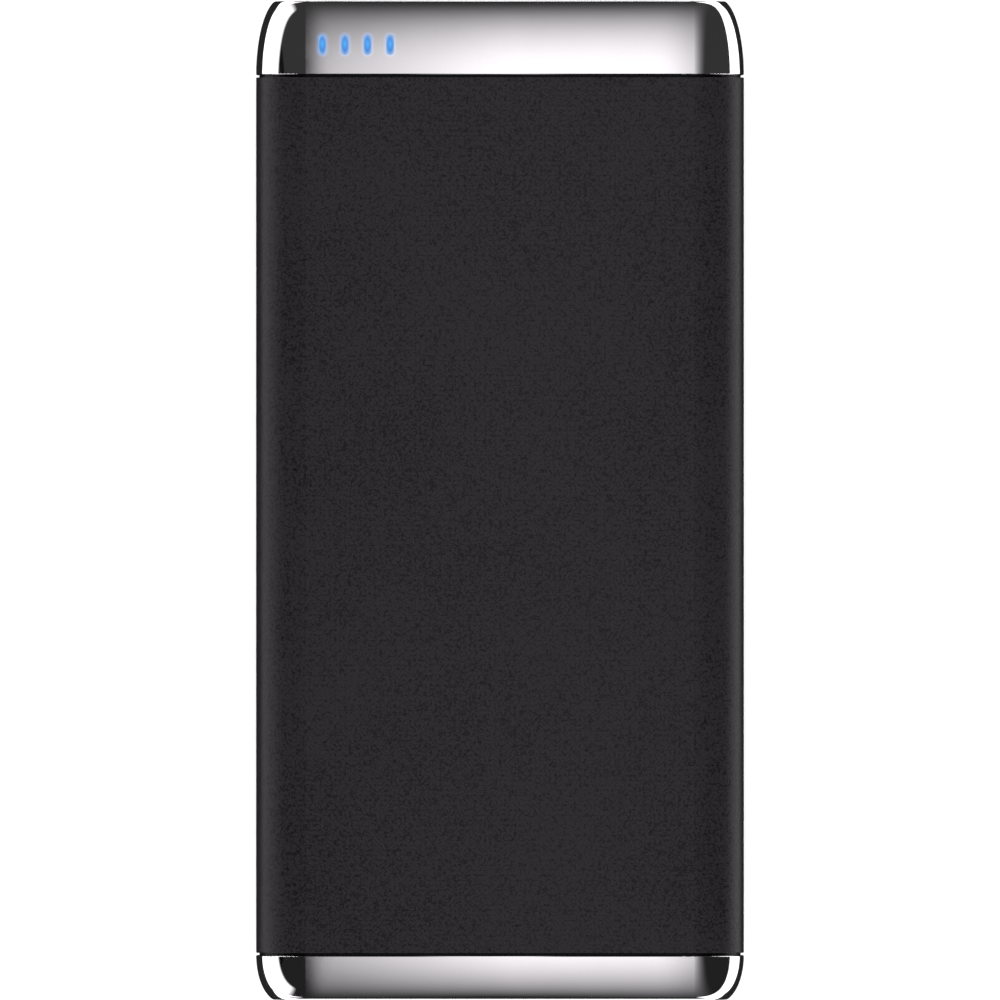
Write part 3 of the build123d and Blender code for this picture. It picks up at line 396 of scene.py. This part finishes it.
cover(diode_finish(), *light_names)


# ------------------------------------------------------------------ power button and switch
# The button is a moulded key with satin chrome plating that pokes through the end wall; its flange keeps it
# in. A stub behind it pushes the nylon stem of a small side-push switch, whose steel leaf snaps it back.
def satin_finish():
    finish, tree, shader, place = new_finish("satin_chrome_key", (0.80, 0.80, 0.81), 0.2, 1.0)
    blast = speckle(tree, place, 0.00018, 3.0)
    feed(tree, shader, roughness=spread(tree, blast, 0.17, 0.28))
    relief(tree, shader, blast, 0.000004, 0.5)
    return finish


def nylon_finish(name, dark, light, size=0.0006):
    finish, tree, shader, place = new_finish(name, dark, 0.45)
    flow = speckle(tree, place, size * 6, 3.0)
    skin = speckle(tree, place, size, 3.0)
    feed(tree, shader, base_color=tint(tree, flow, dark, light))
    feed(tree, shader, roughness=spread(tree, skin, 0.4, 0.55))
    relief(tree, shader, skin, 0.000008, 0.4)
    return finish


def folded_metal_finish(name, dull, bright, roughness=0.28):
    """Rolled sheet: fine lines along its length, with dull patches."""
    finish, tree, shader, place = new_finish(name, bright, roughness, 1.0)
    drawn = add(tree, "Mapping", place, None, None, (1.0, 0.06, 1.0)).outputs[0]
    lines = speckle(tree, drawn, 0.0001, 3.0)
    patches = speckle(tree, place, 0.003, 2.0)
    feed(tree, shader, base_color=tint(tree, patches, dull, bright))
    wear = together(tree, lines, patches, 0.5, 0.5)
    feed(tree, shader, roughness=spread(tree, wear, roughness - 0.08, roughness + 0.1))
    relief(tree, shader, lines, 0.000003, 0.5)
    return finish


cover(satin_finish(), "power_button")
black_nylon = nylon_finish("black_nylon", (0.018, 0.018, 0.019), (0.026, 0.026, 0.028))
cover(black_nylon, "switch_body", "micro_usb_tongue")
cover(nylon_finish("red_nylon", (0.40, 0.04, 0.03), (0.50, 0.06, 0.05)), "switch_plunger")
steel = folded_metal_finish("nickel_plated_steel", (0.58, 0.57, 0.55), (0.70, 0.69, 0.67))
cover(steel, "switch_dome")


# ------------------------------------------------------------------ sockets
# Each socket is a shell of nickel-plated steel folded round a moulded nylon insert. The insert's tongue
# carries gold-plated contacts on its lower side. The two large ones feed out, and the small one charges.
cover(steel, "usb_a_shell_1", "usb_a_shell_2", "micro_usb_shell")
white_nylon = nylon_finish("white_nylon", (0.66, 0.66, 0.63), (0.76, 0.76, 0.74))
cover(white_nylon, "usb_a_tongue_1", "usb_a_tongue_2")
gold = folded_metal_finish("gold_flash", (0.72, 0.52, 0.22), (0.90, 0.70, 0.34), 0.22)
cover(gold, "usb_a_contacts_1", "usb_a_contacts_2", "micro_usb_contacts")


# ------------------------------------------------------------------ circuit board and its parts
# The board is glass epoxy under green solder mask, sunk between the sockets and held by two screws. On it sit
# the charger and boost chips in black epoxy, a ferrite inductor, ceramic capacitors and resistors.
def board_finish():
    finish, tree, shader, place = new_finish("green_solder_mask", (0.012, 0.12, 0.05), 0.3)
    weave = add(tree, "TexWave", place, 2200.0, 0.4, 1.0, wave_profile="SIN").outputs["Fac"]
    copper = cells(tree, place, 0.0035, "DISTANCE_TO_EDGE")
    tracks = spread(tree, copper, 1.0, 0.0, 0.06, 0.09)
    feed(tree, shader, base_color=tint(tree, tracks, (0.008, 0.085, 0.035), (0.02, 0.17, 0.07), 0.2, 0.8))
    relief(tree, shader, together(tree, weave, tracks, 0.15, 1.0), 0.00002, 0.6)
    return finish


def ceramic_finish(name, dark, light, size=0.0005, roughness=0.4):
    finish, tree, shader, place = new_finish(name, dark, roughness)
    grit = speckle(tree, place, size, 4.0)
    feed(tree, shader, base_color=tint(tree, grit, dark, light))
    feed(tree, shader, roughness=spread(tree, grit, roughness - 0.08, roughness + 0.12))
    relief(tree, shader, grit, 0.00001, 0.5)
    return finish


cover(board_finish(), "main_board")
black_epoxy = ceramic_finish("black_epoxy", (0.022, 0.022, 0.024), (0.032, 0.032, 0.034))
cover(black_epoxy, "charger_chip", "boost_chip")
cover(ceramic_finish("dark_ferrite", (0.06, 0.06, 0.063), (0.10, 0.10, 0.10), 0.0008), "power_inductor")
cover(ceramic_finish("tan_ceramic", (0.36, 0.26, 0.17), (0.46, 0.35, 0.24)), "capacitors")
cover(ceramic_finish("black_glaze", (0.02, 0.02, 0.022), (0.05, 0.05, 0.052), 0.0003, 0.3), "resistors")


# ------------------------------------------------------------------ cells, tape and wiring
# Two lithium polymer cells in aluminium-laminate pouches lie one on the other with tape between them. Nickel
# strips join their tabs through a slotted grey-green paper, and two silicone leads run to the board.
def pouch_finish():
    finish, tree, shader, place = new_finish("pouch_foil", (0.72, 0.73, 0.75), 0.35, 0.85)
    wrinkles = speckle(tree, place, 0.007, 4.0, 0.6)
    feed(tree, shader, roughness=spread(tree, wrinkles, 0.28, 0.45))
    feed(tree, shader, base_color=tint(tree, wrinkles, (0.64, 0.65, 0.67), (0.76, 0.77, 0.79)))
    relief(tree, shader, wrinkles, 0.00012, 0.5)
    return finish


def paper_finish(name, dark, light):
    finish, tree, shader, place = new_finish(name, dark, 0.85)
    fibres = add(tree, "Mapping", place, None, None, (1.0, 0.35, 0.35)).outputs[0]
    fibre = speckle(tree, fibres, 0.0004, 5.0, 0.7)
    feed(tree, shader, base_color=tint(tree, fibre, dark, light))
    feed(tree, shader, roughness=spread(tree, fibre, 0.78, 0.92))
    relief(tree, shader, fibre, 0.00002, 0.6)
    return finish


def silicone_finish(name, colour, light):
    finish, tree, shader, place = new_finish(name, colour, 0.5)
    bloom = speckle(tree, place, 0.0012, 3.0)
    feed(tree, shader, base_color=tint(tree, bloom, colour, light))
    feed(tree, shader, roughness=spread(tree, bloom, 0.42, 0.6))
    relief(tree, shader, bloom, 0.00001, 0.4)
    return finish


cover(pouch_finish(), "front_cell", "back_cell")
cover(paper_finish("white_tape", (0.70, 0.70, 0.66), (0.82, 0.82, 0.79)), "cell_tape")
cover(paper_finish("insulating_paper", (0.22, 0.27, 0.22), (0.33, 0.38, 0.32)), "end_insulator")
nickel = folded_metal_finish("plain_nickel", (0.56, 0.54, 0.49), (0.68, 0.66, 0.60), 0.3)
cover(nickel, "positive_strip", "negative_strip")
cover(silicone_finish("red_silicone", (0.42, 0.015, 0.012), (0.52, 0.03, 0.025)), "positive_lead")
cover(silicone_finish("black_silicone", (0.014, 0.014, 0.015), (0.024, 0.024, 0.025)), "negative_lead")


# ------------------------------------------------------------------ foam pads
# A die-cut pad of dark closed-cell foam lies between each cell and its shell. It takes up the slack and the
# cells' swelling. The cut edges are a little rounded, and the skin shows its fine cells.
FOAM_EDGE = 0.00016


def foam_finish():
    finish, tree, shader, place = new_finish("closed_cell_foam", (0.04, 0.04, 0.043), 0.9)
    bubbles = cells(tree, place, 0.0004)
    feed(tree, shader, base_color=tint(tree, bubbles, (0.030, 0.030, 0.033), (0.06, 0.06, 0.064), 0.2, 0.8))
    feed(tree, shader, roughness=spread(tree, bubbles, 0.82, 0.96, 0.2, 0.8))
    relief(tree, shader, bubbles, 0.00004, 0.8)
    return finish


def foam_pad(name, node, finish):
    """A thin slab with rounded cut edges, in the space of its plain solid."""
    low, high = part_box(node)
    shape = bmesh.new()
    corners = [(low.x, low.y), (high.x, low.y), (high.x, high.y), (low.x, high.y)]
    under = [shape.verts.new((x, y, low.z)) for x, y in corners]
    over = [shape.verts.new((x, y, high.z)) for x, y in corners]
    shape.faces.new(list(reversed(under)))
    shape.faces.new(over)
    for i in range(4):
        shape.faces.new((under[i], under[(i + 1) % 4], over[(i + 1) % 4], over[i]))
    bmesh.ops.bevel(shape, geom=shape.edges[:], offset=FOAM_EDGE, segments=3, affect="EDGES", profile=0.5)
    mesh = bpy.data.meshes.new(name)
    shape.to_mesh(mesh)
    shape.free()
    mesh.materials.append(finish)
    mesh.polygons.foreach_set("use_smooth", [True] * len(mesh.polygons))
    pad = bpy.data.objects.new(name, mesh)
    bpy.context.scene.collection.objects.link(pad)
    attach(pad, "housing")
    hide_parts(node)


foam = foam_finish()
foam_pad("front_foam", "front_foam_pad", foam)
foam_pad("back_foam", "back_foam_pad", foam)


# ------------------------------------------------------------------ screws
# M1.7 thread-forming screws in black-zinc steel, pan head. Four join the shells from behind, inside the
# spigots, and two hold the board to the posts of the back shell.
def screw_finish():
    finish, tree, shader, place = new_finish("black_zinc", (0.09, 0.09, 0.095), 0.35, 0.8)
    passivation = speckle(tree, place, 0.0008, 3.0)
    feed(tree, shader, base_color=tint(tree, passivation, (0.06, 0.06, 0.066), (0.13, 0.13, 0.135)))
    feed(tree, shader, roughness=spread(tree, passivation, 0.28, 0.45))
    return finish


cover(screw_finish(), "top_shell_screws", "bottom_shell_screws", "board_screws")


# ------------------------------------------------------------------ table and studio
# The power bank lies on its back on a pale table, under an even white light. A dome round it is seen only in
# what shines: a long soft box overhead, black flags beside it, and a white card low on the left.
middle = (cad_low + cad_high) / 2
TABLE_SIZE = 8.0
TABLE_WHITE = (0.86, 0.86, 0.865)
ROOM_LIGHT = 2.2
DOME_RADIUS = 0.2
DOME_RINGS = 48
DOME_SIDES = 96
SHADOW_LEFT = 0.017
SHADOW_RIGHT = 0.011
SHADOW_ENDS = 0.013
FAR_SHADOW = (0.040, 0.400)
SHADOW_LIFT = 0.00015
FLAG_GREY = 0.036
# places on the dome are shares of its radius, from -1 to 1 from side to side and from end to end
BOX_GAIN = 1.2
BOX_LEFT = (-0.152, -0.134)
BOX_LEFT_LEVEL = 0.48
BOX_HOT_SPOT = 0.01
BOX_RIGHT = (0.12, 0.162)
SPILL_LEVEL = 0.55
SPILL_END = 0.52
SPILL_POWER = 1.8
SOCKET_END_FADE = 0.30
SOCKET_END_POWER = 1.35
PLAIN_END_POWER = 0.7
CARD_LEVEL = 1.25
CARD_TOP = (0.36, 0.30)
CARD_SIDE = (-0.35, -0.5)
CARD_GAP = (-0.84, -0.785)
CARD_GAP_LEVEL = 0.2
GAP_SOFTNESS = 0.02
FLAG_TURN = 0.12
PLAIN_END_FLAG = 0.45


def table_top():
    """A broad flat table."""
    shape = bmesh.new()
    bmesh.ops.create_grid(shape, x_segments=16, y_segments=16, size=TABLE_SIZE / 2)
    mesh = bpy.data.meshes.new("table")
    shape.to_mesh(mesh)
    shape.free()
    finish, tree, shader, place = new_finish("pale_table", TABLE_WHITE, 0.7, specular=0.2)
    clouds = speckle(tree, place, 0.25, 3.0)
    feed(tree, shader, base_color=tint(tree, clouds, (0.85, 0.85, 0.855), TABLE_WHITE))
    mesh.materials.append(finish)
    table = bpy.data.objects.new("table", mesh)
    table.location.z = cad_low.z
    bpy.context.scene.collection.objects.link(table)


def step(tree, value, start, end):
    """0 before the start, 1 after the end, with a soft step between."""
    return add(tree, "MapRange", value, start, end, 0.0, 1.0, interpolation_type="SMOOTHSTEP").outputs[0]


def times(tree, first, second):
    return add(tree, "Math", first, second, operation="MULTIPLY").outputs[0]


def fade(tree, value, start, end, power):
    """1 up to the start, and then down a quarter of a cosine to 0 at the end, to a power."""
    turn = add(tree, "MapRange", value, start, end, 0.0, math.pi / 2).outputs[0]
    cosine = add(tree, "Math", turn, operation="COSINE").outputs[0]
    cosine = add(tree, "Math", cosine, 0.0, operation="MAXIMUM").outputs[0]
    return add(tree, "Math", cosine, power, operation="POWER").outputs[0]


def overhead_box(tree, x, y):
    """A box light with a crisp left edge, a hot spot at its middle, and a long soft spill to its right."""
    level = add(tree, "MapRange", x, BOX_LEFT[1], BOX_HOT_SPOT, BOX_LEFT_LEVEL, 1.0).outputs[0]
    left = times(tree, step(tree, x, *BOX_LEFT), level)
    spill = add(tree, "MapRange", x, BOX_RIGHT[1], SPILL_END, 1.0, 0.0).outputs[0]
    spill = add(tree, "Math", spill, SPILL_POWER, operation="POWER").outputs[0]
    inside = step(tree, x, BOX_RIGHT[1], BOX_RIGHT[0])
    right = together(tree, spill, inside, SPILL_LEVEL, 1 - SPILL_LEVEL)
    behind = times(tree, y, -1.0)
    socket_end = fade(tree, y, SOCKET_END_FADE, 1.0, SOCKET_END_POWER)
    plain_end = fade(tree, behind, 0.0, 1.0, PLAIN_END_POWER)
    return times(tree, times(tree, left, right), times(tree, socket_end, plain_end))


def flags(tree, x, y):
    """Black flags beside the box, darker still in the gap before the left card and toward the plain end."""
    outer, inner = CARD_GAP
    gap = times(tree, step(tree, x, outer - GAP_SOFTNESS, outer), step(tree, x, inner + GAP_SOFTNESS, inner))
    shade = add(tree, "MapRange", gap, 0.0, 1.0, 1.0, CARD_GAP_LEVEL).outputs[0]
    along = add(tree, "MapRange", y, -FLAG_TURN, FLAG_TURN, PLAIN_END_FLAG, 1.0).outputs[0]
    return times(tree, shade, along)


def only_in_reflections(thing):
    thing.visible_camera = False
    thing.visible_diffuse = False
    thing.visible_shadow = False
    thing.visible_transmission = False
    thing.visible_volume_scatter = False


def light_dome():
    """A half sphere that glows inward, brightest overhead, seen only by shiny surfaces."""
    shape = bmesh.new()
    bmesh.ops.create_uvsphere(shape, u_segments=DOME_SIDES, v_segments=DOME_RINGS, radius=DOME_RADIUS)
    below = [v for v in shape.verts if v.co.z < -0.001]
    bmesh.ops.delete(shape, geom=below, context="VERTS")
    mesh = bpy.data.meshes.new("light_dome")
    shape.to_mesh(mesh)
    shape.free()
    finish = bpy.data.materials.new("dome_light")
    finish.use_nodes = True
    tree = finish.node_tree
    tree.nodes.clear()
    place = add(tree, "TexCoord").outputs["Object"]
    way = add(tree, "VectorMath", place, operation="SCALE")
    way.inputs["Scale"].default_value = 1 / DOME_RADIUS
    axes = add(tree, "SeparateXYZ", way.outputs[0])
    x, y, z = axes.outputs
    box = together(tree, overhead_box(tree, x, y), flags(tree, x, y), BOX_GAIN, FLAG_GREY)
    card = times(tree, step(tree, z, *CARD_TOP), step(tree, x, *CARD_SIDE))
    card = times(tree, card, CARD_LEVEL)
    light = add(tree, "Math", box, card, operation="MAXIMUM").outputs[0]
    glow = add(tree, "Emission", (1.0, 0.995, 1.0, 1.0))
    tree.links.new(light, glow.inputs["Strength"])
    tree.links.new(glow.outputs[0], add(tree, "OutputMaterial").inputs["Surface"])
    mesh.materials.append(finish)
    dome = bpy.data.objects.new("light_dome", mesh)
    dome.location = (middle.x, middle.y, middle.z)
    bpy.context.scene.collection.objects.link(dome)
    only_in_reflections(dome)


def shadow_card():
    """A dark sheet under and close round the object, and one farther off each end, seen only in reflections:
    painted shadow that gives the object its dark edges.
    """
    shape = bmesh.new()
    left, right = cad_low.x - SHADOW_LEFT, cad_high.x + SHADOW_RIGHT
    near, far = FAR_SHADOW
    lengths = [
        (cad_low.y - SHADOW_ENDS, cad_high.y + SHADOW_ENDS),
        (cad_low.y - far, cad_low.y - near),
        (cad_high.y + near, cad_high.y + far),
    ]
    for low, high in lengths:
        corners = [(left, low, 0), (right, low, 0), (right, high, 0), (left, high, 0)]
        shape.faces.new([shape.verts.new(corner) for corner in corners])
    mesh = bpy.data.meshes.new("shadow_card")
    shape.to_mesh(mesh)
    shape.free()
    finish = new_finish("painted_shadow_card", (0.01, 0.01, 0.01), 0.9, specular=0.0)[0]
    mesh.materials.append(finish)
    card = bpy.data.objects.new("shadow_card", mesh)
    card.location.z = cad_low.z + SHADOW_LIFT
    bpy.context.scene.collection.objects.link(card)
    only_in_reflections(card)


def room_light():
    """Even white light from all round, which lights the matt surfaces and the table."""
    world = bpy.data.worlds.new("white_room")
    world.use_nodes = True
    background = world.node_tree.nodes["Background"]
    background.inputs["Color"].default_value = (1.0, 1.0, 1.0, 1.0)
    background.inputs["Strength"].default_value = ROOM_LIGHT
    bpy.context.scene.world = world
    world.cycles_visibility.glossy = False
    world.cycles_visibility.transmission = False


table_top()
light_dome()
shadow_card()
room_light()

# ------------------------------------------------------------------ camera
# A long lens looks straight down on the front face, with the socket end uppermost.
CAMERA_HEIGHT = 5.0
PICTURE_MARGIN = 1.0018
OFF_CENTRE = 0.000075
SENSOR = 0.036
lens = bpy.data.cameras.new("camera")
lens.sensor_width = SENSOR * 1000
lens.lens = SENSOR * 1000 * CAMERA_HEIGHT / ((cad_high.y - cad_low.y) * PICTURE_MARGIN)
lens.clip_start = 1.0
lens.clip_end = 20.0
camera = bpy.data.objects.new("camera", lens)
camera.location = (middle.x, middle.y + OFF_CENTRE, middle.z + CAMERA_HEIGHT)
bpy.context.scene.collection.objects.link(camera)
bpy.context.scene.camera = camera
bpy.context.scene.view_settings.view_transform = "Standard"
